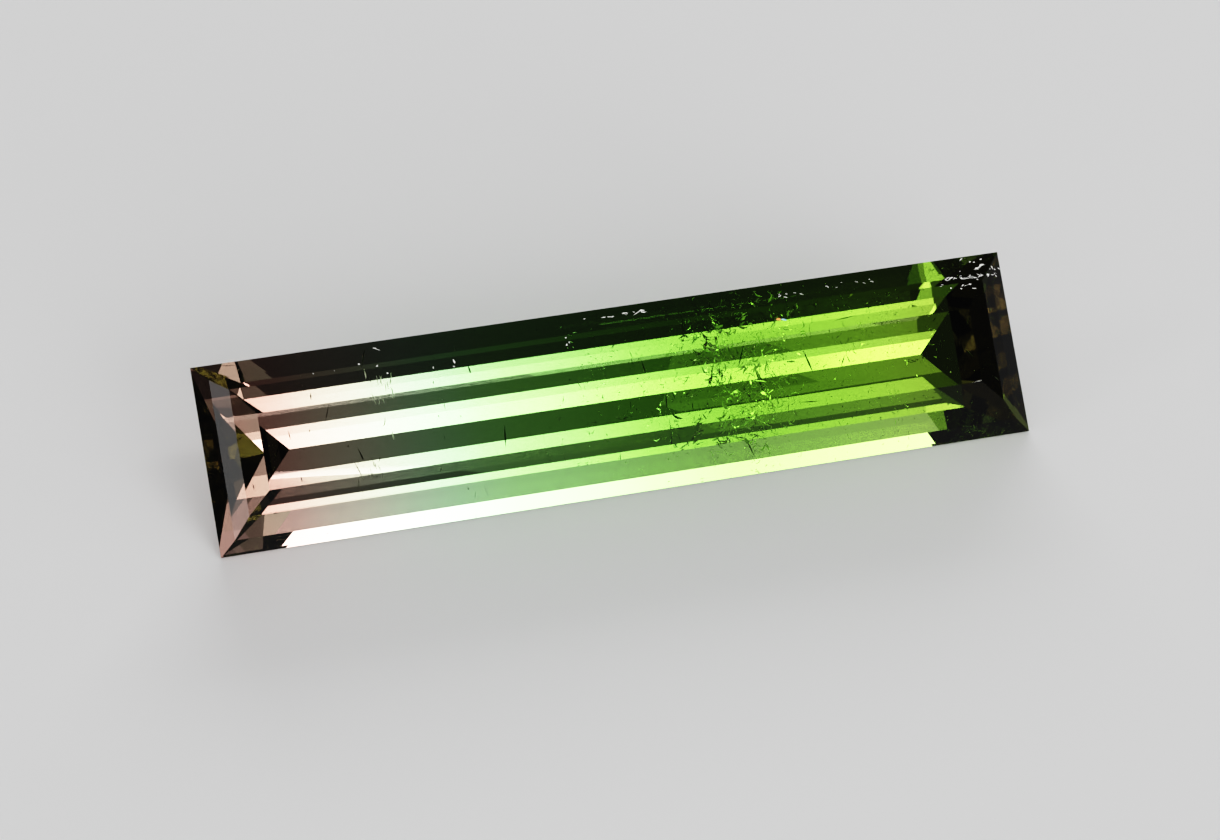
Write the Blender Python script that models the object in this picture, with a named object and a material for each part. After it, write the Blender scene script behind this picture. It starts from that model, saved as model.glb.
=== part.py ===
"""A long step-cut tourmaline, lying on the near long side of its pavilion.

The stone is one solid. It is cut as a lapidary cuts it: a block is ground flat
by one plane for each facet, tier by tier, and then laid down on a facet.
While it is cut, the table faces +Z and the girdle's upper line is at Z = 0.
The work is in millimetres until the finished stone is scaled to metres.
"""
import math

import bmesh
import bpy
from mathutils import Matrix, Vector

MILLIMETRE = 0.001

# Girdle, the widest outline of the stone
GIRDLE_WIDTH = 5.0
GIRDLE_LENGTH = 22.35
GIRDLE_HEIGHT = 0.03
LEFT_END_SKEW_DEG = -0.8
RIGHT_END_SKEW_DEG = -2.06

# Height gained by each step of the crown, and depth of each step of the pavilion
CROWN_RISES = {"outer": 0.37, "middle": 0.27, "inner": 0.26}
PAVILION_DROPS = {"top": 0.29, "main": 1.85, "keel": 0.86}

# How far in from the girdle each break line lies, on each of the four sides
CROWN_INSETS = {
    "near": {"outer": 0.41, "middle": 0.99, "inner": 1.58},
    "far": {"outer": 0.39, "middle": 0.70, "inner": 1.42},
    "left": {"outer": 0.39, "middle": 0.84, "inner": 1.43},
    "right": {"outer": 0.43, "middle": 0.79, "inner": 1.40},
}
PAVILION_INSETS = {
    "near": {"top": 0.18, "main": 1.41, "keel": 2.50},
    "far": {"top": 0.01, "main": 1.42, "keel": 2.50},
    "left": {"top": 0.09, "main": 1.34, "keel": 2.38},
    "right": {"top": 0.09, "main": 1.36, "keel": 2.23},
}

# Finish of the polished crystal: mid green, between the pink end and the yellow-green end
STONE_COLOUR = (0.36, 0.62, 0.20, 1.0)
STONE_ROUGHNESS = 0.02
STONE_IOR = 1.635
SNAP = 0.00001


def clear_scene():
    """Removes the objects that the file opened with."""
    for thing in list(bpy.data.objects):
        bpy.data.objects.remove(thing, do_unlink=True)


def break_lines(rises, insets, start):
    """The (inset, height) of each break line of one side, going away from the girdle."""
    lines = [(0.0, start)]
    height = start
    for step, rise in rises.items():
        height += rise
        lines.append((insets[step], height))
    return lines


def facet_profiles(side):
    """For each facet of one side, the two break lines that it runs between."""
    crown = break_lines(CROWN_RISES, CROWN_INSETS[side], 0.0)
    drops = {step: -drop for step, drop in PAVILION_DROPS.items()}
    pavilion = break_lines(drops, PAVILION_INSETS[side], -GIRDLE_HEIGHT)
    girdle = [(pavilion[0], crown[0])]
    crown_facets = list(zip(crown, crown[1:]))
    pavilion_facets = [(lower, upper) for upper, lower in zip(pavilion, pavilion[1:])]
    return girdle + crown_facets + pavilion_facets


def resting_angle():
    """Angle between the table and the main facet that the stone lies on."""
    run = PAVILION_INSETS["near"]["main"] - PAVILION_INSETS["near"]["top"]
    return math.atan2(PAVILION_DROPS["main"], run)


def rough_block():
    """A block larger than the stone on every side, with room to grind all the facets."""
    block = bmesh.new()
    bmesh.ops.create_cube(block, size=2.0)
    size = Vector((GIRDLE_LENGTH, GIRDLE_WIDTH, GIRDLE_WIDTH))
    bmesh.ops.scale(block, vec=size, verts=block.verts)
    return block


def grind(block, point, normal):
    """Cuts away what lies outside a plane and closes the cut with one flat facet."""
    geometry = block.verts[:] + block.edges[:] + block.faces[:]
    bmesh.ops.bisect_plane(
        block, geom=geometry, dist=SNAP, plane_co=point, plane_no=normal, clear_outer=True)
    rim = [edge for edge in block.edges if edge.is_boundary]
    if rim:
        bmesh.ops.contextual_create(block, geom=rim)


def grind_side(block, side, outward, middle):
    """Cuts every facet of one side; middle is the centre of that side's girdle line."""
    for (lower_inset, lower_height), (upper_inset, upper_height) in facet_profiles(side):
        gain = upper_height - lower_height
        lean = upper_inset - lower_inset
        normal = outward * gain + Vector((0.0, 0.0, lean))
        point = middle - outward * lower_inset + Vector((0.0, 0.0, lower_height))
        grind(block, point, normal.normalized())


def cut_stone():
    """Cuts the table and then all four sides."""
    block = rough_block()
    table = Vector((0.0, 0.0, sum(CROWN_RISES.values())))
    grind(block, table, Vector((0.0, 0.0, 1.0)))
    half_width = GIRDLE_WIDTH / 2
    half_length = GIRDLE_LENGTH / 2
    far = Vector((0.0, 1.0, 0.0))
    left_skew = math.radians(LEFT_END_SKEW_DEG)
    left = Vector((-math.cos(left_skew), math.sin(left_skew), 0.0))
    right_skew = math.radians(RIGHT_END_SKEW_DEG)
    right = Vector((math.cos(right_skew), -math.sin(right_skew), 0.0))
    grind_side(block, "far", far, far * half_width)
    grind_side(block, "near", -far, -far * half_width)
    grind_side(block, "left", left, Vector((-half_length, 0.0, 0.0)))
    grind_side(block, "right", right, Vector((half_length, 0.0, 0.0)))
    return block


def lay_down(block):
    """Turns the stone onto the near main facet of the pavilion and centres it over the origin."""
    turn = Matrix.Rotation(resting_angle(), 4, "X")
    bmesh.ops.transform(block, matrix=turn, verts=block.verts)
    bmesh.ops.scale(block, vec=Vector((MILLIMETRE, MILLIMETRE, MILLIMETRE)), verts=block.verts)
    lows = [min(corner.co[axis] for corner in block.verts) for axis in range(3)]
    highs = [max(corner.co[axis] for corner in block.verts) for axis in range(3)]
    shift = Vector((-(lows[0] + highs[0]) / 2, -(lows[1] + highs[1]) / 2, -lows[2]))
    bmesh.ops.translate(block, vec=shift, verts=block.verts)


def polished_crystal():
    """Clear polished crystal, seen as one even green."""
    finish = bpy.data.materials.new("polished_crystal")
    finish.use_nodes = True
    shader = finish.node_tree.nodes["Principled BSDF"]
    shader.inputs["Base Color"].default_value = STONE_COLOUR
    shader.inputs["Roughness"].default_value = STONE_ROUGHNESS
    shader.inputs["Metallic"].default_value = 0.0
    shader.inputs["IOR"].default_value = STONE_IOR
    shader.inputs["Transmission Weight"].default_value = 1.0
    return finish


def make_stone():
    """The finished stone as one object."""
    block = cut_stone()
    lay_down(block)
    bmesh.ops.recalc_face_normals(block, faces=block.faces)
    mesh = bpy.data.meshes.new("tourmaline")
    block.to_mesh(mesh)
    block.free()
    mesh.materials.append(polished_crystal())
    stone = bpy.data.objects.new("tourmaline", mesh)
    bpy.context.scene.collection.objects.link(stone)
    return stone


clear_scene()
stone = make_stone()
print(stone.name, "facets:", len(stone.data.polygons))
print("size in mm:", [round(side / MILLIMETRE, 3) for side in stone.dimensions])
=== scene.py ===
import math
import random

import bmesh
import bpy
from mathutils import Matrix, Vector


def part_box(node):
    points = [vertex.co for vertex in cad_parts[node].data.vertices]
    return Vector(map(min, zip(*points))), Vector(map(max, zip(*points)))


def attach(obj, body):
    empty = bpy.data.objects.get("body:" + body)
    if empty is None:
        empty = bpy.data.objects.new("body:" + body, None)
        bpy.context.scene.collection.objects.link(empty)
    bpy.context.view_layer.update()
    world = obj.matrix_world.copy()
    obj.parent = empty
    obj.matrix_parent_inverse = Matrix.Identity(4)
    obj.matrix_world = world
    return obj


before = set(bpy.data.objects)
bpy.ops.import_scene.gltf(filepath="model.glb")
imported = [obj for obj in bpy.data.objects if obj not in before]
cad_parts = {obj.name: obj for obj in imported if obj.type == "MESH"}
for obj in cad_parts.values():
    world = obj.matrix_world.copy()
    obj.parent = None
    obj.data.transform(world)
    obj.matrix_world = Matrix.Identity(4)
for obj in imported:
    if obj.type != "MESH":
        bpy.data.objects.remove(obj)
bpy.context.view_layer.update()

# %% [markdown]
# # A two-coloured tourmaline
#
# The object is one cut stone: a long, thin rectangle of pink and green tourmaline. Its facets are
# already cut and stay as they are. This lesson adds what makes it look like tourmaline: the colour
# zones, what lies inside the crystal, the light and the camera. A clear stone has hardly any look of
# its own. It shows its surroundings, bent and coloured, so half of the work here is lighting.

MM = 0.001
STONE_LOW, STONE_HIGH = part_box("tourmaline")
print("stone in mm:", [round(side / MM, 2) for side in STONE_HIGH - STONE_LOW])

# %% [markdown]
# The stone rests on a facet of its underside, so its flat top, the table, tips towards the camera.
# A cutter thinks in the stone's own directions: along its length, across its width, and up from the
# table. Three vectors and one function let the rest of the file place things that way too, which is
# easier to read than tipped coordinates.

# %% The stone's own directions
TABLE_TIP = math.radians(56.38)
GIRDLE_CENTRE = Vector((-0.03, -0.53, 2.11)) * MM
HALF_WIDTH = 2.5 * MM
ALONG = Vector((1, 0, 0))
TABLE_UP = Vector((0, -math.sin(TABLE_TIP), math.cos(TABLE_TIP)))
TOWARD_FAR = Vector((0, math.cos(TABLE_TIP), math.sin(TABLE_TIP)))


def in_stone(along, across, depth):
    """A place in mm: along the length, across to the far side, and below the girdle."""
    return GIRDLE_CENTRE + (ALONG * along + TOWARD_FAR * across - TABLE_UP * depth) * MM


print("the table faces", [round(part, 2) for part in TABLE_UP])

# %% [markdown]
# The crystal took up different metals as it grew, so it is pink at one end, almost colourless next
# to that, and then green, which turns warmer and deeper towards the other end. The colour depends on
# one thing only, the place along the length. That is a colour ramp over the X coordinate. A painted
# image would need a resolution and a seam; a ramp has neither.
#
# A colour here is what one pass of light through the surface leaves over, not what the eye sees:
# light that crosses the stone is tinted going in and again going out.

# %% The colour zones
ZONES = {
    "pink": (0.04, (0.90, 0.42, 0.34)),
    "rose": (0.10, (0.92, 0.56, 0.48)),
    "peach": (0.14, (0.90, 0.78, 0.62)),
    "nearly colourless": (0.19, (0.84, 0.88, 0.68)),
    "mint": (0.24, (0.64, 0.96, 0.62)),
    "pale green": (0.29, (0.49, 1.00, 0.50)),
    "spring green": (0.36, (0.37, 0.97, 0.27)),
    "leaf green": (0.52, (0.25, 0.78, 0.10)),
    "deep green": (0.63, (0.20, 0.63, 0.05)),
    "warm green": (0.77, (0.27, 0.75, 0.058)),
    "olive": (0.89, (0.31, 0.68, 0.065)),
    "dark olive": (0.98, (0.25, 0.40, 0.045)),
}


def add_node(tree, kind, operation=None, **numbers):
    """Adds a shader node; a number named From_Min sets the input From Min."""
    node = tree.nodes.new(kind)
    if operation:
        node.operation = operation
    for name, number in numbers.items():
        node.inputs[name.replace("_", " ")].default_value = number
    return node


def add_ramp(tree, along_x, start, end, stops):
    """A colour ramp from X = start to X = end; each stop is a share of that way and a colour."""
    parts = add_node(tree, "ShaderNodeSeparateXYZ")
    tree.links.new(along_x, parts.inputs[0])
    share = add_node(tree, "ShaderNodeMapRange", From_Min=start, From_Max=end)
    tree.links.new(parts.outputs["X"], share.inputs["Value"])
    ramp = add_node(tree, "ShaderNodeValToRGB")
    elements = ramp.color_ramp.elements
    elements.remove(elements[1])
    for number, (position, colour) in enumerate(stops):
        stop = elements[0] if number == 0 else elements.new(position)
        stop.position = position
        stop.color = (*colour, 1)
    tree.links.new(share.outputs["Result"], ramp.inputs["Fac"])
    return ramp.outputs["Color"]


print("zones from left to right:", ", ".join(ZONES))

# %% [markdown]
# Light usually enters through the upper facets and leaves through them again, but on some paths it
# also crosses the lower ones, which would colour it twice as deeply as the photograph shows. So the
# facets below the girdle are tinted less. Height above the girdle is a dot product: the place,
# measured from the girdle, against the direction in which the table faces. The girdle is a band
# 0.03 mm high, and the tint changes across its lower edge.

# %% Paler facets below the girdle
PAVILION_PALER = 0.4
FULL_TINT_ABOVE = -0.02 * MM
PALE_TINT_BELOW = -0.04 * MM
WHITE = (1, 1, 1)


def mix_colours(tree, share, start, end):
    """Goes from the colour at the socket start to the plain colour end."""
    mix = tree.nodes.new("ShaderNodeMixRGB")
    mix.inputs["Color2"].default_value = (*end, 1)
    tree.links.new(share, mix.inputs["Fac"])
    tree.links.new(start, mix.inputs["Color1"])
    return mix.outputs["Color"]


def paler_below_girdle(tree, place, colour):
    """Mixes white into the colour on the facets below the girdle."""
    from_girdle = add_node(tree, "ShaderNodeVectorMath", "SUBTRACT")
    from_girdle.inputs[1].default_value = GIRDLE_CENTRE
    tree.links.new(place, from_girdle.inputs[0])
    height = add_node(tree, "ShaderNodeVectorMath", "DOT_PRODUCT")
    height.inputs[1].default_value = TABLE_UP
    tree.links.new(from_girdle.outputs["Vector"], height.inputs[0])
    below = add_node(tree, "ShaderNodeMapRange", From_Min=FULL_TINT_ABOVE, From_Max=PALE_TINT_BELOW,
                     To_Max=PAVILION_PALER)
    tree.links.new(height.outputs["Value"], below.inputs["Value"])
    return mix_colours(tree, below.outputs["Result"], colour, WHITE)


print("share of white in the lower facets:", PAVILION_PALER)

# %% [markdown]
# Tourmaline is far darker along the crystal than across it. Cutters call that a closed end. In a
# stone cut lengthwise, the small facets at the green end look along the crystal, so they stay nearly
# black while the long facets blaze. The renderer has no such direction in its glass. The facet's own
# normal stands in for it: a facet that faces the green end gets a dark brown tint. The long facets
# have no X in their normals and the facets at that end have a third or more, so a limit between the
# two tells them apart.

# %% The closed, dark end
CLOSED_END_TINT = (0.07, 0.068, 0.004)
CLOSED_END_SHARE = 0.80
LONG_FACET_X, END_FACET_X = 0.2, 0.3


def darker_closed_end(tree, colour):
    """Mixes the dark tint into the colour on the facets that face the green end."""
    surface = add_node(tree, "ShaderNodeNewGeometry")
    facing = add_node(tree, "ShaderNodeSeparateXYZ")
    tree.links.new(surface.outputs["True Normal"], facing.inputs[0])
    is_end = add_node(tree, "ShaderNodeMapRange", From_Min=LONG_FACET_X, From_Max=END_FACET_X,
                      To_Max=CLOSED_END_SHARE)
    tree.links.new(facing.outputs["X"], is_end.inputs["Value"])
    return mix_colours(tree, is_end.outputs["Result"], colour, CLOSED_END_TINT)


def crystal_colour_group():
    """A shader group that puts the three steps together and gives one colour."""
    group = bpy.data.node_groups.new("crystal colour", "ShaderNodeTree")
    group.interface.new_socket("Colour", in_out="OUTPUT", socket_type="NodeSocketColor")
    place = add_node(group, "ShaderNodeTexCoord").outputs["Object"]
    colour = add_ramp(group, place, STONE_LOW.x, STONE_HIGH.x, ZONES.values())
    colour = paler_below_girdle(group, place, colour)
    colour = darker_closed_end(group, colour)
    end = group.nodes.new("NodeGroupOutput")
    group.links.new(colour, end.inputs["Colour"])
    return group


crystal_colour = crystal_colour_group()
print("crystal colour:", len(crystal_colour.nodes), "nodes")

# %% [markdown]
# Polished tourmaline is clear and smooth, and bends light by 1.64. One Principled shader with full
# transmission does that. The colour group tints the surface, and a faint absorption in the volume
# dims long paths, so that light which runs the whole length of the stone fades out, as it does in the
# real one. The facets are shaded flat: a cut stone has no soft edges.

# %% The clear crystal
CRYSTAL_IOR = 1.64
DEPTH_COLOUR = (0.445, 0.415, 0.38)
DEPTH_DENSITY = 250


def clear_crystal():
    """Polished tourmaline: clear, strongly refracting, coloured by its zones."""
    crystal = bpy.data.materials.new("clear tourmaline")
    crystal.use_nodes = True
    tree = crystal.node_tree
    shader = tree.nodes["Principled BSDF"]
    shader.inputs["Roughness"].default_value = 0.0
    shader.inputs["IOR"].default_value = CRYSTAL_IOR
    shader.inputs["Transmission Weight"].default_value = 1.0
    zones = tree.nodes.new("ShaderNodeGroup")
    zones.node_tree = crystal_colour
    tree.links.new(zones.outputs["Colour"], shader.inputs["Base Color"])
    depth = tree.nodes.new("ShaderNodeVolumeAbsorption")
    depth.inputs["Color"].default_value = (*DEPTH_COLOUR, 1)
    depth.inputs["Density"].default_value = DEPTH_DENSITY
    tree.links.new(depth.outputs[0], tree.nodes["Material Output"].inputs["Volume"])
    return crystal


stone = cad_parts["tourmaline"]
stone.data.materials.clear()
stone.data.materials.append(clear_crystal())
stone.data.shade_flat()
print("triangles in the facets:", len(stone.data.polygons))

# %% [markdown]
# No long tourmaline is perfectly clean. Hair-fine growth tubes cross it, and old cracks have healed
# into feathery sheets of tiny films. They could be painted on the facets, but each facet shows them
# from its own side and often twice. So they are real, small meshes inside the stone, and refraction
# repeats them for us. The first helper tells whether a place lies inside: that is true where it is
# behind every facet's plane.

# %% What is inside
random.seed(11)
FACET_PLANES = [(face.center.copy(), face.normal.copy()) for face in stone.data.polygons]


def is_inside(point, margin):
    """True where a point lies in the stone, at least margin away from each facet."""
    return all((point - centre).dot(normal) < -margin for centre, normal in FACET_PLANES)


def random_axis():
    """A unit vector in any direction, each as likely as the others."""
    return Vector((random.gauss(0, 1), random.gauss(0, 1), random.gauss(0, 1))).normalized()


print("planes:", len(FACET_PLANES), "the girdle's centre is inside:", is_inside(GIRDLE_CENTRE, 0))

# %% [markdown]
# The finishes of the inclusions share one effect: nothing that grew in a crystal has an even tone.
# A shader group makes a soft cloud of two tones from noise. It is built once, and each finish places
# it with its own two colours. The two limits pull the noise, which is mostly middling, apart.

# %% Uneven tone, shared by the inclusions
CLOUD_DEEP_BELOW, CLOUD_BRIGHT_ABOVE = 0.35, 0.65


def uneven_tone_group():
    """A shader group that gives an uneven tone between two, and the cloud that it follows."""
    group = bpy.data.node_groups.new("uneven tone", "ShaderNodeTree")
    group.interface.new_socket("Deep", in_out="INPUT", socket_type="NodeSocketColor")
    group.interface.new_socket("Bright", in_out="INPUT", socket_type="NodeSocketColor")
    group.interface.new_socket("Scale", in_out="INPUT", socket_type="NodeSocketFloat")
    group.interface.new_socket("Colour", in_out="OUTPUT", socket_type="NodeSocketColor")
    group.interface.new_socket("Cloud", in_out="OUTPUT", socket_type="NodeSocketFloat")
    given = group.nodes.new("NodeGroupInput")
    place = add_node(group, "ShaderNodeTexCoord")
    noise = add_node(group, "ShaderNodeTexNoise", Detail=2.0)
    group.links.new(place.outputs["Object"], noise.inputs["Vector"])
    group.links.new(given.outputs["Scale"], noise.inputs["Scale"])
    cloud = add_node(group, "ShaderNodeMapRange", From_Min=CLOUD_DEEP_BELOW,
                     From_Max=CLOUD_BRIGHT_ABOVE)
    group.links.new(noise.outputs[0], cloud.inputs["Value"])
    mix = group.nodes.new("ShaderNodeMixRGB")
    group.links.new(cloud.outputs["Result"], mix.inputs["Fac"])
    group.links.new(given.outputs["Deep"], mix.inputs["Color1"])
    group.links.new(given.outputs["Bright"], mix.inputs["Color2"])
    end = group.nodes.new("NodeGroupOutput")
    group.links.new(mix.outputs["Color"], end.inputs["Colour"])
    group.links.new(cloud.outputs["Result"], end.inputs["Cloud"])
    return group


uneven_tone = uneven_tone_group()
print("uneven tone:", len(uneven_tone.nodes), "nodes")

# %% [markdown]
# A finish is then one Principled shader with that group in front of it. The cloud steers the
# roughness as well as the colour, so that the brighter places shine a little more. Its scale is a
# sixth of a millimetre to a cloud, about the length of one film.

# %% A finish for an inclusion
CLOUDS_PER_METRE = 6000
ROUGHER, SMOOTHER = 1.2, 0.8


def inclusion_finish(name, deep, bright, roughness, metallic=0.0):
    """A finish between two tones; the brighter places are smoother."""
    finish = bpy.data.materials.new(name)
    finish.use_nodes = True
    tree = finish.node_tree
    shader = tree.nodes["Principled BSDF"]
    shader.inputs["Metallic"].default_value = metallic
    tone = tree.nodes.new("ShaderNodeGroup")
    tone.node_tree = uneven_tone
    tone.inputs["Deep"].default_value = (*deep, 1)
    tone.inputs["Bright"].default_value = (*bright, 1)
    tone.inputs["Scale"].default_value = CLOUDS_PER_METRE
    tree.links.new(tone.outputs["Colour"], shader.inputs["Base Color"])
    rough = add_node(tree, "ShaderNodeMapRange", To_Min=roughness * ROUGHER,
                     To_Max=roughness * SMOOTHER)
    tree.links.new(tone.outputs["Cloud"], rough.inputs["Value"])
    tree.links.new(rough.outputs["Result"], shader.inputs["Roughness"])
    return finish


print("clouds to a millimetre:", CLOUDS_PER_METRE * MM)

# %% [markdown]
# Every kind of inclusion is gathered into one mesh and one object: a thousand separate objects would
# be slow and hard to manage. The piece rides on the stone's body, so it would move with the stone.

# %% From a mesh to a finished piece
def link(obj):
    """Puts a new object into the scene."""
    bpy.context.scene.collection.objects.link(obj)
    return obj


def finish_inclusions(name, mesh, finish):
    """Turns the gathered mesh into one piece of the stone, with its finish."""
    data = bpy.data.meshes.new(name)
    bmesh.ops.recalc_face_normals(mesh, faces=mesh.faces)
    mesh.to_mesh(data)
    mesh.free()
    data.materials.append(finish)
    piece = link(bpy.data.objects.new(name, data))
    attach(piece, "root")
    print(name, len(data.polygons), "faces")
    return piece


# %% [markdown]
# A growth tube is a hair-thin channel, and many run across the crystal here. At this size a tube is a
# dark thread with pointed ends, so six corners are enough: a slightly uneven ring of four in the
# middle, and one point at each end. A bmesh takes them corner by corner and face by face.

# %% The shape of a thread
RING_CORNERS = 4


def add_sliver(mesh, centre, axis, long, wide, thin):
    """A pointed, flattened sliver, as closed faces; axis is its long direction."""
    roll = Matrix.Rotation(random.uniform(0, math.pi), 3, "Z")
    turn = axis.to_track_quat("Z", "Y").to_matrix() @ roll
    ring = []
    for k in range(RING_CORNERS):
        angle = 2 * math.pi * k / RING_CORNERS
        reach = random.uniform(0.7, 1.0)
        x = wide * math.cos(angle) * reach
        y = thin * math.sin(angle) * reach
        z = random.uniform(-0.2, 0.2) * long
        ring.append(mesh.verts.new(centre + turn @ Vector((x, y, z))))
    top = mesh.verts.new(centre + turn @ Vector((0, 0, long)))
    end = mesh.verts.new(centre - turn @ Vector((0, 0, long)))
    for k in range(RING_CORNERS):
        after = ring[(k + 1) % RING_CORNERS]
        mesh.faces.new((ring[k], after, top))
        mesh.faces.new((after, ring[k], end))


print("faces in a thread:", 2 * RING_CORNERS)

# %% [markdown]
# Most inclusions are scattered. One function gives a place, another a length, and a thread is kept
# only where it lies inside with its whole length. What is turned down is drawn again, so the count
# comes out right.

# %% Many threads at once
CLEAR_OF_FACET = 0.06


def scatter(mesh, count, place, long, wide, thin, axis, margin=CLEAR_OF_FACET):
    """Adds slivers at places that place() gives, where they lie inside the stone. Sizes are in mm."""
    made = 0
    while made < count:
        spot = in_stone(*place())
        reach = long()
        if is_inside(spot, max(margin, reach) * MM):
            add_sliver(mesh, spot, axis(), reach * MM, wide * reach * MM, thin * reach * MM)
            made += 1


print("kept clear of the facets by mm:", CLEAR_OF_FACET)

# %% [markdown]
# Short threads are common and long ones are rare, which is what a Pareto draw gives; a higher shape
# number makes the long ones rarer. They lie across the stone and crowd towards the green end. Three
# small functions hold these habits, with the lengths and places in mm.

# %% How the threads lie
SHORTEST_THREAD, LONG_THREAD, LONGEST_THREAD = 0.06, 0.35, 0.4
PARETO_SHAPE = 1.8
USUAL_SHARE = 0.9


def crosswise():
    """Along the width of the stone, leaning a little at random."""
    lean = Vector((random.gauss(0, 0.22), 0, 0)) + TABLE_UP * random.gauss(0, 0.4)
    return (TOWARD_FAR + lean).normalized()


def thread_length():
    """Usually short, sometimes long, and never so long that it leaves the stone."""
    is_usual = random.random() < USUAL_SHARE
    length = SHORTEST_THREAD * random.paretovariate(PARETO_SHAPE) if is_usual else LONG_THREAD
    return min(length, LONGEST_THREAD)


def anywhere(along):
    """A place with this distance along the stone, and any across it and in depth."""
    return along, random.uniform(-2.2, 2.2), random.uniform(-0.8, 1.2)


print("threads in mm, from", SHORTEST_THREAD, "to", LONGEST_THREAD)

# %% [markdown]
# Sixty threads and twenty-five short stubs make up the background. The few marks that the photograph
# shows clearly have their own line in a list: where along and across, how long, and how far they
# lean. They lie high in the stone, 0.2 mm below the level of the table.

# %% Growth tubes
DARK_MARKS = [
    (-7.35, -0.75, 0.30, 0.35), (-9.0, 0.4, 0.12, 0.1), (-8.3, 1.3, 0.10, -0.1), (9.6, -0.1, 0.20, 0.8),
    (9.7, 0.75, 0.16, -0.6), (6.05, 0.2, 0.20, -0.5), (6.2, 0.22, 0.14, 0.4), (6.3, 1.3, 0.35, -12.0),
    (10.3, -0.9, 0.12, 0.8), (-6.7, 1.5, 0.08, 0.2)]
MARK_DEPTH = -0.7
MARK_WIDE, MARK_THIN = 0.022 * MM, 0.018 * MM
tubes = bmesh.new()
scatter(tubes, 60, lambda: anywhere(random.triangular(-9, 10.2, 7)), thread_length, 0.09, 0.07, crosswise)
scatter(tubes, 25, lambda: anywhere(random.uniform(-9, 9)), lambda: random.uniform(0.03, 0.06), 0.4, 0.3,
        crosswise)
for along, across, long, lean in DARK_MARKS:
    axis = (TOWARD_FAR - ALONG * lean).normalized()
    add_sliver(tubes, in_stone(along, across, MARK_DEPTH), axis, long * MM, MARK_WIDE, MARK_THIN)
dark_tube = inclusion_finish("dark growth tube", (0.01, 0.02, 0.005), (0.03, 0.04, 0.015), 0.5)
finish_inclusions("growth_tubes", tubes, dark_tube)

# %% [markdown]
# A crack that healed while the crystal grew leaves a sheet of tiny, curled films. Seen from the side,
# each is a thin curved strip that narrows to both ends. The strip is swept from a square section
# along a shallow arc, and each section is rolled a little, so it catches light in some places only.

# %% The shape of a curl
CURL_STEPS = 5
NARROWEST = 0.12
FREE_RIPPLE = 0.5
SQUARE = ((-1, -1), (1, -1), (1, 1), (-1, 1))


def add_curl(mesh, centre, axis, side, long, wide, thin, bend, ripple=FREE_RIPPLE):
    """A thin curved strip that narrows to both ends, as closed faces."""
    rings = []
    up = axis.cross(side).normalized()
    side = up.cross(axis).normalized()
    for k in range(CURL_STEPS + 1):
        t = k / CURL_STEPS * 2 - 1
        at = centre + axis * (t * long) + side * (bend * (1 - t * t) * long)
        half = wide * max(NARROWEST, 1 - t * t) * random.uniform(0.6, 1.2)
        roll = random.uniform(-ripple, ripple)
        across = side * math.cos(roll) + up * math.sin(roll)
        through = up * math.cos(roll) - side * math.sin(roll)
        rings.append([mesh.verts.new(at + across * (half * a) + through * (thin * b)) for a, b in SQUARE])
    for ring, after in zip(rings, rings[1:]):
        for k in range(4):
            mesh.faces.new((ring[k], ring[(k + 1) % 4], after[(k + 1) % 4], after[k]))
    mesh.faces.new(rings[0][::-1])
    mesh.faces.new(rings[-1])


print("faces in a curl:", 4 * CURL_STEPS + 2)

# %% [markdown]
# A feather is a gently curved sheet through the stone, dense in the middle. Curls are placed on that
# sheet at random and kept only where they lie inside. Half of them lie close to level with the table,
# tipped three degrees to the near side: there they mirror the upper softbox towards the camera, and
# that is the sparkle in the cluster.

# %% A feather
FILM_THICKNESS = 0.004
TIP_TO_NEAR_SIDE = 0.055
MIRRORING_UP = TABLE_UP - TOWARD_FAR * TIP_TO_NEAR_SIDE
LEVEL_SHARE = 0.5
LEVEL_RIPPLE = 0.15
SHEET_BEND, SHEET_SPREAD = 0.25, 0.12
CURL_CLEAR_OF_FACET = 1.2
TAIL_SHAPE = 1.5


def feather(mesh, middle, reach, count, sizes):
    """Curls that lie along one healed crack: a sheet through the stone, slightly curved."""
    u = (TOWARD_FAR + ALONG * random.uniform(-0.5, 0.5)).normalized()
    v = (TABLE_UP + ALONG * random.uniform(-0.9, 0.9)).normalized()
    centre = in_stone(*middle)
    made = 0
    while made < count:
        a, b = random.gauss(0, reach[0]), random.gauss(0, reach[1])
        bend = SHEET_BEND * math.sin(2.0 * a) + random.gauss(0, SHEET_SPREAD)
        spot = centre + (u * a + v * b + ALONG * bend) * MM
        size = min(sizes[0] * random.paretovariate(TAIL_SHAPE), sizes[1])
        if not is_inside(spot, (CURL_CLEAR_OF_FACET * size + 0.01) * MM):
            continue
        axis = u * random.uniform(-1, 1) + ALONG * random.uniform(-1, 1) + random_axis() * 0.4
        axis = axis.normalized()
        is_level = random.random() < LEVEL_SHARE
        if is_level:
            up = (MIRRORING_UP + random_axis() * 0.12).normalized()
            axis = (axis - up * axis.dot(up)).normalized()
            side, ripple = up.cross(axis), LEVEL_RIPPLE
        else:
            side, ripple = random_axis(), FREE_RIPPLE
        add_curl(mesh, spot, axis, side, size * MM, random.uniform(0.1, 0.3) * size * MM,
                 FILM_THICKNESS * MM, random.uniform(-0.7, 0.7), ripple)
        made += 1


print("level films tip by degrees:", round(math.degrees(math.atan(TIP_TO_NEAR_SIDE)), 1))

# %% [markdown]
# Five feathers stand together a little right of the middle and make the leafy cluster that the
# photograph shows. The other five are faint, with fewer and smaller curls. Two finishes share the
# places: a mirror-like film where a thin layer of fluid reflects, and a paler, dull one. A list gives
# each feather's middle, as places in the stone in mm, and its share of the curls.

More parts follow.
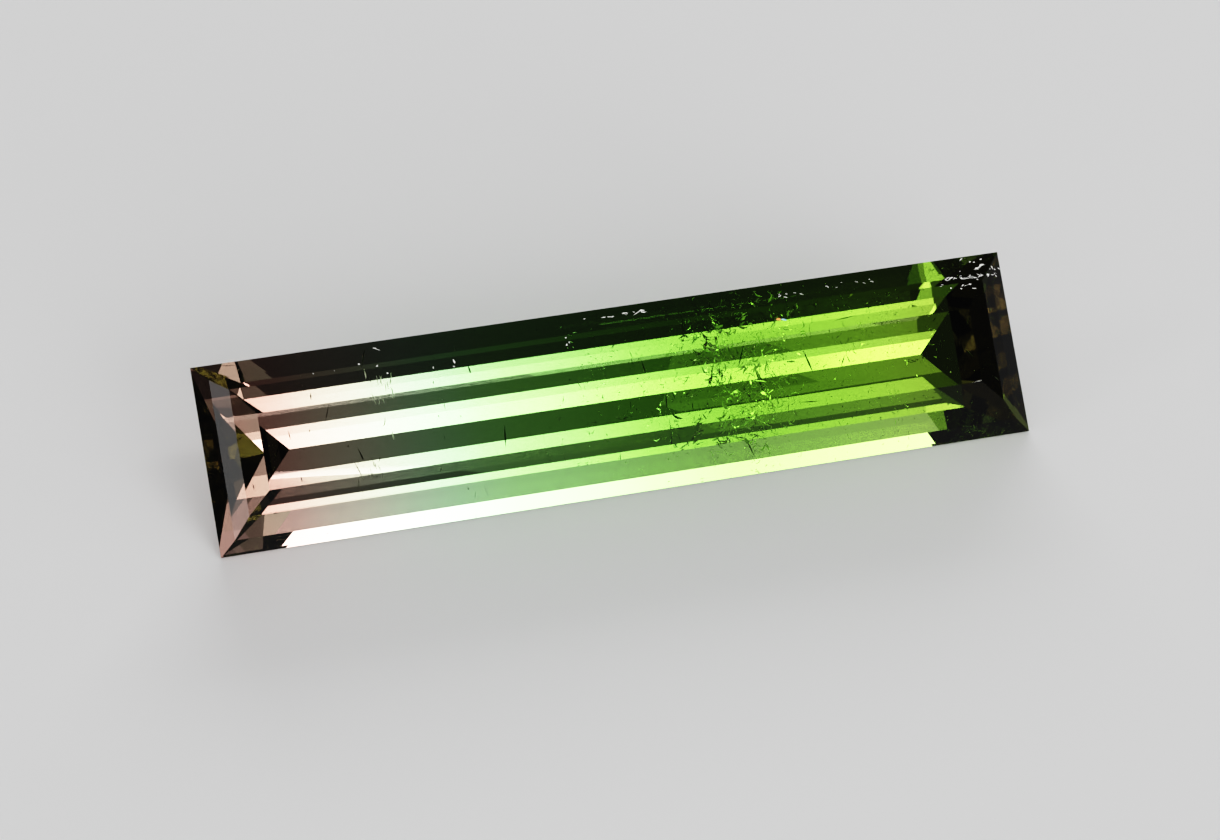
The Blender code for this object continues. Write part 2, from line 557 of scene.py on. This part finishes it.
# %% The healed feathers
FEATHERS = [
    ((2.8, 0.8, 0.0), 1.0), ((3.2, -0.6, 0.2), 1.0), ((3.6, 0.3, -0.3), 1.0), ((4.0, -0.9, 0.3), 1.0),
    ((4.3, 0.6, 0.0), 1.0), ((-0.4, 0.4, 0.2), 0.15), ((1.2, -0.4, 0.2), 0.2), ((6.4, 0.2, -0.1), 0.15),
    ((7.6, -0.6, 0.2), 0.15), ((8.6, 0.3, 0.0), 0.1)]
FEATHER_REACH = (0.9, 0.5)
MIRROR_CURLS, PALE_CURLS = 45, 90
LARGEST_IN_CLUSTER, LARGEST_ELSEWHERE = 0.17, 0.08
SMALLEST_MIRROR, SMALLEST_PALE = 0.04, 0.03
PALE_TO_MIRROR = 0.75
films = bmesh.new()
pale = bmesh.new()
for middle, share in FEATHERS:
    largest = LARGEST_IN_CLUSTER if share == 1.0 else LARGEST_ELSEWHERE
    feather(films, middle, FEATHER_REACH, int(MIRROR_CURLS * share), (SMALLEST_MIRROR, largest))
    feather(pale, middle, FEATHER_REACH, int(PALE_CURLS * share),
            (SMALLEST_PALE, PALE_TO_MIRROR * largest))
mirror_film = inclusion_finish("mirror film", (0.85, 0.95, 0.7), (1.0, 1.0, 0.95), 0.1, 1.0)
finish_inclusions("healed_feathers", films, mirror_film)

# %% [markdown]
# Two more things have the pale finish: a wisp of fine upright lines near the pink end, and single
# flakes. The flakes are slivers, like the threads, but shorter and wider, and they are scattered from
# left of the middle to the green end. A wisp line lies at random too: each pair of numbers is the
# middle and the spread of its place.

# %% Wisp and flakes
WISP_LINES = 26
WISP_ALONG, WISP_ACROSS = (-6.3, 0.25), (1.1, 0.5)
WISP_CLEAR_OF_FACET = 0.3
FLAKES = 350
FLAKE_WIDE, FLAKE_THIN = 0.6, 0.3
FLAKE_CLEAR_OF_FACET = 0.03


def add_wisp_line(mesh):
    """One fine line across the stone, near the pink end."""
    axis = TOWARD_FAR + TABLE_UP * random.gauss(0, 0.2) + ALONG * random.gauss(0, 0.15)
    spot = in_stone(random.gauss(*WISP_ALONG), random.gauss(*WISP_ACROSS), random.uniform(-0.7, -0.2))
    if is_inside(spot, WISP_CLEAR_OF_FACET * MM):
        add_curl(mesh, spot, axis.normalized(), random_axis(), random.uniform(0.05, 0.16) * MM,
                 random.uniform(0.008, 0.02) * MM, FILM_THICKNESS * MM, random.uniform(-0.4, 0.4))


def flake_place():
    """From left of the middle to the green end, most often at four fifths of the length."""
    return random.triangular(-3, 10.6, 7), random.uniform(-2.3, 2.3), random.uniform(-0.85, 1.6)


for _ in range(WISP_LINES):
    add_wisp_line(pale)
scatter(pale, FLAKES, flake_place, lambda: random.uniform(0.01, 0.04), FLAKE_WIDE, FLAKE_THIN,
        random_axis, FLAKE_CLEAR_OF_FACET)
pale_film = inclusion_finish("pale film", (0.8, 0.9, 0.65), (1.0, 1.0, 0.95), 0.5)
finish_inclusions("pale_feathers", pale, pale_film)

# %% [markdown]
# Tourmaline is hard but brittle, and the far edge and the far corner at the green end are chipped.
# A fresh chip is a small rough pit that looks white. Cutting real pits would change the stone's
# shape, which stays as it is, so a chip is a thin, ragged plate that lies in the polished surface.
# First it has to find its own facet: from a place above the table, the facet that is met first. Then
# it has to stay clear of that facet's edges, or it would stick out of the stone. A flat facet is
# stored as several triangles, and the seam between two of them is no edge: triangles whose normals
# agree are one facet.

# %% Find the facet for a chip
ABOVE_THE_TABLE = -2.0
FACES_UP = 0.05
SAME_FACET = 0.999
ROOM_FOR_CORNERS = 1.3


def facet_below(above):
    """The facet that lies straight below a place, against the table's direction, and how far below."""
    facing = [plane for plane in FACET_PLANES if plane[1].dot(TABLE_UP) > FACES_UP]
    falls = [(above - centre).dot(normal) / normal.dot(TABLE_UP) for centre, normal in facing]
    return facing[falls.index(max(falls))], max(falls)


def is_near_edge(spot, normal, long):
    """True where a plate of this length would reach past the facet's edge."""
    for centre, other in FACET_PLANES:
        if other.dot(normal) > SAME_FACET:
            continue
        room = ROOM_FOR_CORNERS * long * MM * (1 - abs(other.dot(normal)))
        if (spot - centre).dot(other) > -room:
            return True
    return False


_, fall_to_table = facet_below(in_stone(0, 0, ABOVE_THE_TABLE))
print("from the start down to the table, in mm:", round(fall_to_table / MM, 2))

# %% [markdown]
# The plate itself is a ragged rim of seven corners round a low tip, with a second tip just inside the
# stone that closes it. Each corner of the rim is near, middling or far at random, so no two chips are
# alike and none is round.

# %% The shape of a chip
RIM_CORNERS = 7
RIM_REACHES = (0.35, 0.7, 1.2)
CHIP_RISE, CHIP_ROOT = 0.004, 0.01


def add_chip(mesh, along, across, long, wide):
    """A ragged plate in the polished surface at the place given, in mm, or nothing at an edge."""
    above = in_stone(along, across, ABOVE_THE_TABLE)
    (_, normal), fall = facet_below(above)
    spot = above - TABLE_UP * fall
    if is_near_edge(spot, normal, long):
        return
    axis = ALONG + random_axis() * 0.7
    axis = (axis - normal * axis.dot(normal)).normalized()
    side = normal.cross(axis)
    rim = []
    for k in range(RIM_CORNERS):
        angle = 2 * math.pi * k / RIM_CORNERS
        reach = random.choice(RIM_REACHES) * random.uniform(0.8, 1.3)
        out = axis * (long * math.cos(angle)) + side * (wide * math.sin(angle))
        rim.append(mesh.verts.new(spot + out * reach * MM))
    top = mesh.verts.new(spot + normal * CHIP_RISE * MM)
    low = mesh.verts.new(spot - normal * CHIP_ROOT * MM)
    for k in range(RIM_CORNERS):
        after = rim[(k + 1) % RIM_CORNERS]
        mesh.faces.new((rim[k], after, top))
        mesh.faces.new((after, rim[k], low))


print("faces in a chip:", 2 * RIM_CORNERS)

# %% [markdown]
# The chips follow the far edge in three short runs and crowd round the far corner. Each row of the
# table is one such run: how many, where along, the middle and spread across, and the least and
# greatest length and width. A few pale specks on the dark far band have their own list: where, and
# how long and wide. All of it is in mm. The seed is set once more here, so that the chips keep their
# places when the feathers change.

# %% Chips along the far edge and at the corner
CHIP_RUNS = [
    (12, lambda: random.uniform(-0.3, 1.2), (2.27, 0.02), (0.05, 0.13), (0.012, 0.024)),
    (6, lambda: random.uniform(4.4, 5.3), (2.16, 0.03), (0.02, 0.07), (0.008, 0.016)),
    (10, lambda: random.uniform(5.9, 7.4), (2.22, 0.03), (0.02, 0.06), (0.008, 0.014)),
    (26, lambda: random.uniform(9.3, 11.0), (1.93, 0.03), (0.02, 0.1), (0.008, 0.02)),
    (22, lambda: random.gauss(10.5, 0.3), (2.15, 0.12), (0.02, 0.1), (0.01, 0.05)),
    (12, lambda: random.gauss(9.9, 0.5), (1.75, 0.12), (0.02, 0.08), (0.01, 0.03)),
]
SPECKS = [
    (-6.35, 2.30, 0.09, 0.022), (-6.46, 1.85, 0.045, 0.03), (-6.90, 1.97, 0.03, 0.02),
    (-6.22, 1.63, 0.02, 0.045), (-8.13, 1.89, 0.025, 0.02), (-7.57, 1.89, 0.025, 0.02),
    (-5.79, 1.42, 0.025, 0.015), (-5.01, 1.60, 0.02, 0.03), (-4.42, 1.67, 0.025, 0.06),
    (-4.46, 1.55, 0.02, 0.03), (-1.35, 1.88, 0.04, 0.03), (-1.38, 1.70, 0.03, 0.03),
    (-1.30, 1.74, 0.02, 0.02), (-0.70, 2.30, 0.03, 0.012)]
random.seed(12)
chips = bmesh.new()
for count, along_place, across_spread, lengths, widths in CHIP_RUNS:
    for _ in range(count):
        add_chip(chips, along_place(), random.gauss(*across_spread), random.uniform(*lengths),
                 random.uniform(*widths))
for along, across, long, wide in SPECKS:
    add_chip(chips, along, across, long, wide)
white_chip = inclusion_finish("white chip", (0.88, 0.88, 0.84), (1.0, 1.0, 0.98), 0.4)
finish_inclusions("surface_chips", chips, white_chip)

# %% [markdown]
# Next to the cluster, a crack just under the surface splits light into colours, like a film of oil.
# The photograph shows one orange and one bluish fleck there. Thin-film colour could be computed, but
# for two flecks of a tenth of a millimetre a plate with the right tone is as good.

# %% Two flecks of interference colour
warm = bmesh.new()
add_chip(warm, 4.45, 1.53, 0.06, 0.05)
orange = inclusion_finish("orange interference", (1.0, 0.25, 0.03), (1.0, 0.45, 0.1), 0.4)
finish_inclusions("orange_fleck", warm, orange)
cold = bmesh.new()
add_chip(cold, 4.60, 1.50, 0.09, 0.03)
blue = inclusion_finish("blue interference", (0.25, 0.6, 0.8), (0.5, 0.8, 0.85), 0.4)
finish_inclusions("blue_fleck", cold, blue)

# %% [markdown]
# Now the light. The long facets act as a row of periscopes: each stripe of the stone shows one small
# part of the room, mirrored twice inside. A bright stripe looks at a softbox, and a dark stripe looks
# at the gap beside it. So the lamps are placed by the direction in which a stripe looks, as an
# azimuth (0 is the camera's side, 90 the green end) and an elevation above the floor.
#
# Lamps, cards and floor are all flat rectangles. Three helpers do for all of them: one turns the two
# angles into a direction, one makes a finish that only shines, and one makes the rectangle.

# %% Directions, glow and rectangles
def direction(azimuth, elevation):
    """Unit vector; azimuth 0 is the camera's side, -Y, and 90 is the green end, +X."""
    a, e = math.radians(azimuth), math.radians(elevation)
    return Vector((math.sin(a) * math.cos(e), -math.cos(a) * math.cos(e), math.sin(e)))


def glow_finish(name, strength):
    """A finish that only shines, and its shader node."""
    glow = bpy.data.materials.new(name)
    glow.use_nodes = True
    tree = glow.node_tree
    tree.nodes.clear()
    shine = tree.nodes.new("ShaderNodeEmission")
    shine.inputs["Strength"].default_value = strength
    end = tree.nodes.new("ShaderNodeOutputMaterial")
    tree.links.new(shine.outputs[0], end.inputs["Surface"])
    return glow, shine


def rectangle(name, x_range, y_range, height, finish):
    """A level rectangle with one finish, in metres."""
    (x0, x1), (y0, y1) = x_range, y_range
    mesh = bpy.data.meshes.new(name)
    corners = [(x0, y0, height), (x1, y0, height), (x1, y1, height), (x0, y1, height)]
    mesh.from_pydata(corners, [], [(0, 1, 2, 3)])
    mesh.materials.append(finish)
    return link(bpy.data.objects.new(name, mesh))


print("straight towards the camera's side:", [round(part, 2) for part in direction(0, 0)])

# %% [markdown]
# A real softbox isn't even: it is brighter where its lamp is nearest and falls off to the sides. That
# fall-off matters here, because a long stripe looks at a slightly different azimuth at each point of
# its length. The fall-off is the same kind of ramp as the colour zones, now across the panel, with
# each stop at the azimuth it belongs to. A panel is flat, so an azimuth turns into a place on it by
# way of its tangent.

# %% Fall-off across a softbox
PANEL_DISTANCE = 0.5


def half_size(angle):
    """Half the size in metres of a panel that fills this angle, in degrees."""
    return PANEL_DISTANCE * math.tan(math.radians(angle / 2))


def add_fall_off(glow, shine, falls, azimuth, half):
    """Dims the panel across its width; falls lists (azimuth, share of the full strength)."""
    tree = glow.node_tree
    place = add_node(tree, "ShaderNodeTexCoord")
    stops = []
    for at, share in falls:
        spot = 0.5 + PANEL_DISTANCE * math.tan(math.radians(at - azimuth)) / (2 * half)
        stops.append((spot, (share, share, share)))
    colour = add_ramp(tree, place.outputs["Object"], -half, half, stops)
    tree.links.new(colour, shine.inputs["Color"])


print("a panel that fills 33 degrees, metres across:", round(2 * half_size(33), 2))

# %% [markdown]
# A softbox is a glowing panel half a metre away that faces the stone. Its size is given as the angle
# that it fills. The camera doesn't see it: it is studio equipment.

# %% A softbox
def softbox(name, azimuth, elevation, wide, tall, strength, falls=None):
    """A glowing panel that faces the stone; wide and tall are the angles that it fills."""
    half, rise = half_size(wide), half_size(tall)
    glow, shine = glow_finish(name, strength)
    if falls:
        add_fall_off(glow, shine, falls, azimuth, half)
    panel = rectangle(name, (-half, half), (-rise, rise), 0, glow)
    toward = direction(azimuth, elevation)
    right = direction(azimuth + 90, 0)
    turn = Matrix((right, toward.cross(right), toward)).transposed().to_4x4()
    panel.matrix_world = Matrix.Translation(GIRDLE_CENTRE + toward * PANEL_DISTANCE) @ turn
    panel.visible_camera = False
    print(name, "at", azimuth, elevation, "strength", strength)


# %% [markdown]
# The two softboxes in front fill the bright stripes. Above them a narrow dark card and three dim
# panels give the dark stripes between, which are deep green rather than black. Two more softboxes
# stand higher still. The numbers are the azimuth, the elevation, the two angles that the panel
# fills, and its strength. A list after them is the fall-off.

# %% Light for the long stripes
softbox("front softbox", 5.5, 6.5, 33, 13, 15,
        [(7, 0.62), (11, 0.84), (14, 0.72), (15.5, 0.64), (16.7, 0.64), (17.6, 0.98)])
softbox("front upper softbox", 14, 21.5, 50, 17, 8.6,
        [(7, 0.75), (10.5, 1.0), (13, 0.92), (14.5, 0.76), (16, 0.48), (19, 0.44)])
softbox("dark card", 15, 35.0, 60, 2.6, 0.13)
softbox("dim panel", 34.5, 42.4, 20.4, 7.8, 1.2)
softbox("dim panel between", 34.5, 47.3, 19, 2.3, 1.2, [(25, 0.6), (27.3, 0.8), (29.4, 1.0)])
softbox("dim panel above", 34.5, 52.05, 17.6, 7.5, 0.62)
softbox("high softbox", 27, 61, 20, 7, 6.5)
softbox("small top softbox", 51, 71.5, 8, 4, 2.0)

# %% [markdown]
# The lowest long facets look backwards, so two softboxes stand behind the stone. The panels at the
# sides serve the short end facets, which show pink and lime patches.

# %% Light from behind and from the sides
softbox("back softbox", 166, 23, 34, 17, 8.5)
softbox("back upper softbox", 151, 38, 52, 13, 0.95,
        [(131, 1.0), (158, 1.0), (161, 0.9), (166, 0.85), (171, 0.8)])
softbox("front wing left", -30, 15, 30, 28, 2.0)
softbox("left softbox", -62, 14, 20, 16, 1.3)
softbox("front wing right", 62, 24, 30, 10, 2.0)
softbox("side softbox", -76, 28, 14, 10, 4.0)
softbox("low right panel", 82, 5, 16, 8, 0.5)

# %% [markdown]
# The photograph was taken on a dark ground, and here the floor is pale. A pale floor would show in
# every facet that looks down. The Light Path node tells a shader what kind of ray asks for it, so the
# floor can be pale paper to the camera and dimmer to rays that have met the stone. A photographer
# gets the same result with cards that the picture doesn't show.

# %% The floor
FLOOR_HALF = 2.0
FLOOR_DROP = 0.02 * MM
FLOOR_THROUGH_STONE = 0.45
FLOOR_IN_A_FACET = 0.2
PAPER_COLOUR = (0.8, 0.8, 0.8)
PAPER_ROUGHNESS = 0.9


def paper_finish():
    """White paper to the camera, an even glow to every other ray."""
    finish = bpy.data.materials.new("pale floor")
    finish.use_nodes = True
    tree = finish.node_tree
    paper = tree.nodes["Principled BSDF"]
    paper.inputs["Base Color"].default_value = (*PAPER_COLOUR, 1)
    paper.inputs["Roughness"].default_value = PAPER_ROUGHNESS
    ray = tree.nodes.new("ShaderNodeLightPath")
    glow = tree.nodes.new("ShaderNodeEmission")
    level = add_node(tree, "ShaderNodeMapRange", To_Min=FLOOR_THROUGH_STONE, To_Max=FLOOR_IN_A_FACET)
    tree.links.new(ray.outputs["Is Reflection Ray"], level.inputs["Value"])
    tree.links.new(level.outputs["Result"], glow.inputs["Strength"])
    choice = tree.nodes.new("ShaderNodeMixShader")
    tree.links.new(ray.outputs["Is Camera Ray"], choice.inputs["Fac"])
    tree.links.new(glow.outputs[0], choice.inputs[1])
    tree.links.new(paper.outputs[0], choice.inputs[2])
    tree.links.new(choice.outputs[0], tree.nodes["Material Output"].inputs["Surface"])
    return finish


floor_reach = (-FLOOR_HALF, FLOOR_HALF)
floor = rectangle("floor", floor_reach, floor_reach, -FLOOR_DROP, paper_finish())
print("floor, metres across:", 2 * FLOOR_HALF)

# %% [markdown]
# Right under the stone, and a little behind its green end, even that floor is too bright: the dark band
# along the far edge and the dark V at the right look straight down there, where the stone shades the
# floor. Two small black cards lie on those places as painted shadow: they stand in for that shade as the
# facets see it. The camera sees the floor through them, and they throw no shadow.

# %% Black cards: the painted shadow under the stone
CARD_DROP = 0.01 * MM
SHADOW_CARD_GLOW = 0.03


def shadow_card(name, x_range, y_range):
    """A nearly black card on the floor, painted shadow that only rays from the stone can see; ranges in
    mm.
    """
    glow, _ = glow_finish(name, SHADOW_CARD_GLOW)
    x_metres = [x * MM for x in x_range]
    y_metres = [y * MM for y in y_range]
    card = rectangle(name, x_metres, y_metres, -CARD_DROP, glow)
    card.visible_camera = False
    card.visible_diffuse = False
    card.visible_shadow = False
    print(name, x_range, y_range)


# Both cards are painted shadow: the stone's own shade on the floor, as its facets see it.
shadow_card("painted shadow under the stone", (-12, 12), (-0.2, 2.7))
shadow_card("painted shadow behind the green end", (7, 14), (2.7, 8))

# %% [markdown]
# The room itself is an even grey. It fills whatever the lamps and the floor leave over. It is split
# in the same way as the floor: one level for what the camera sees and what lights the paper, one for
# rays out of the stone, and a low one for the mirror image on a facet, because a veil of grey over
# the facets would wash the colour out.

# %% The room
ROOM_DIRECT = 0.30
ROOM_THROUGH_STONE = 0.33
ROOM_IN_A_FACET = 0.06


def studio_room():
    """A world that is one level of grey to each kind of ray."""
    room = bpy.data.worlds.new("studio")
    room.use_nodes = True
    tree = room.node_tree
    ray = tree.nodes.new("ShaderNodeLightPath")
    direct = add_node(tree, "ShaderNodeMath", "MAXIMUM")
    tree.links.new(ray.outputs["Is Camera Ray"], direct.inputs[0])
    tree.links.new(ray.outputs["Is Diffuse Ray"], direct.inputs[1])
    bent = add_node(tree, "ShaderNodeMapRange", To_Min=ROOM_IN_A_FACET, To_Max=ROOM_THROUGH_STONE)
    tree.links.new(ray.outputs["Is Transmission Ray"], bent.inputs["Value"])
    level = add_node(tree, "ShaderNodeMapRange", To_Max=ROOM_DIRECT)
    tree.links.new(bent.outputs["Result"], level.inputs["To Min"])
    tree.links.new(direct.outputs[0], level.inputs["Value"])
    air = tree.nodes["Background"]
    air.inputs["Color"].default_value = (1, 1, 1, 1)
    tree.links.new(level.outputs["Result"], air.inputs["Strength"])
    return room


bpy.context.scene.world = studio_room()
print("room levels:", ROOM_DIRECT, ROOM_THROUGH_STONE, ROOM_IN_A_FACET)

# %% [markdown]
# The camera looks down at about 34 degrees from a little left of the middle, through a long
# lens. Its place was worked out from the four corners of the stone's outline in the photograph. The
# sensor is 36 mm wide, and a small shift frames the stone where the photograph has it.

# %% The camera
PICTURE_WIDTH, PICTURE_HEIGHT = 1220, 840
CAMERA_YAW = math.radians(15.15)
CAMERA_HEIGHT = math.radians(33.757)
CAMERA_DISTANCE = 33.881 * HALF_WIDTH
FOCAL_LENGTH_IN_PIXELS = 3168.15
PICTURE_CENTRE = (620.835, 400.574)
SENSOR_WIDTH = 36.0

back = direction(-math.degrees(CAMERA_YAW), math.degrees(CAMERA_HEIGHT))
right = Vector((math.cos(CAMERA_YAW), -math.sin(CAMERA_YAW), 0))
lens = bpy.data.cameras.new("camera")
lens.sensor_width = SENSOR_WIDTH
lens.lens = FOCAL_LENGTH_IN_PIXELS / PICTURE_WIDTH * lens.sensor_width
lens.shift_x = (PICTURE_WIDTH / 2 - PICTURE_CENTRE[0]) / PICTURE_WIDTH
lens.shift_y = (PICTURE_CENTRE[1] - PICTURE_HEIGHT / 2) / PICTURE_WIDTH
lens.clip_start = MM
camera = link(bpy.data.objects.new("camera", lens))
turn = Matrix((right, back.cross(right), back)).transposed().to_4x4()
camera.matrix_world = Matrix.Translation(GIRDLE_CENTRE + back * CAMERA_DISTANCE) @ turn
bpy.context.scene.camera = camera
print("lens in mm:", round(lens.lens, 1), "distance in mm:", round(CAMERA_DISTANCE / MM, 1))

# %% [markdown]
# The bright stripes of the photograph run softly into white and its dark ones keep their colour. A
# photograph has such an S-shaped response, and Blender's Standard view has none. The curve mapping
# adds it: each pair says which brightness in the picture a given amount of light becomes. Of its
# four curves, the last one is for all three colours together.

# %% The response of the photograph
FILM_WHITE = 3.0
ALL_COLOURS = 3
FILM = [(0.02, 0.009), (0.04, 0.026), (0.08, 0.070), (0.12, 0.116), (0.2, 0.211), (0.4, 0.42),
        (0.7, 0.648), (1.0, 0.791), (1.5, 0.914), (2.2, 0.975)]
view = bpy.context.scene.view_settings
view.view_transform = "Standard"
view.use_curve_mapping = True
film = view.curve_mapping
film.white_level = (FILM_WHITE, FILM_WHITE, FILM_WHITE)
for light, shown in FILM:
    film.curves[ALL_COLOURS].points.new(light / FILM_WHITE, shown)
film.update()
print("response points:", len(film.curves[ALL_COLOURS].points))

# %% [markdown]
# A ray in this stone often bounces ten times before it leaves. With too few bounces allowed, those
# paths end in black and the stone looks dead.

# %% Room for many bounces
BOUNCES = 20
tracer = bpy.context.scene.cycles
tracer.max_bounces = BOUNCES + 4
tracer.glossy_bounces = BOUNCES
tracer.transmission_bounces = BOUNCES
print("bounces:", BOUNCES)
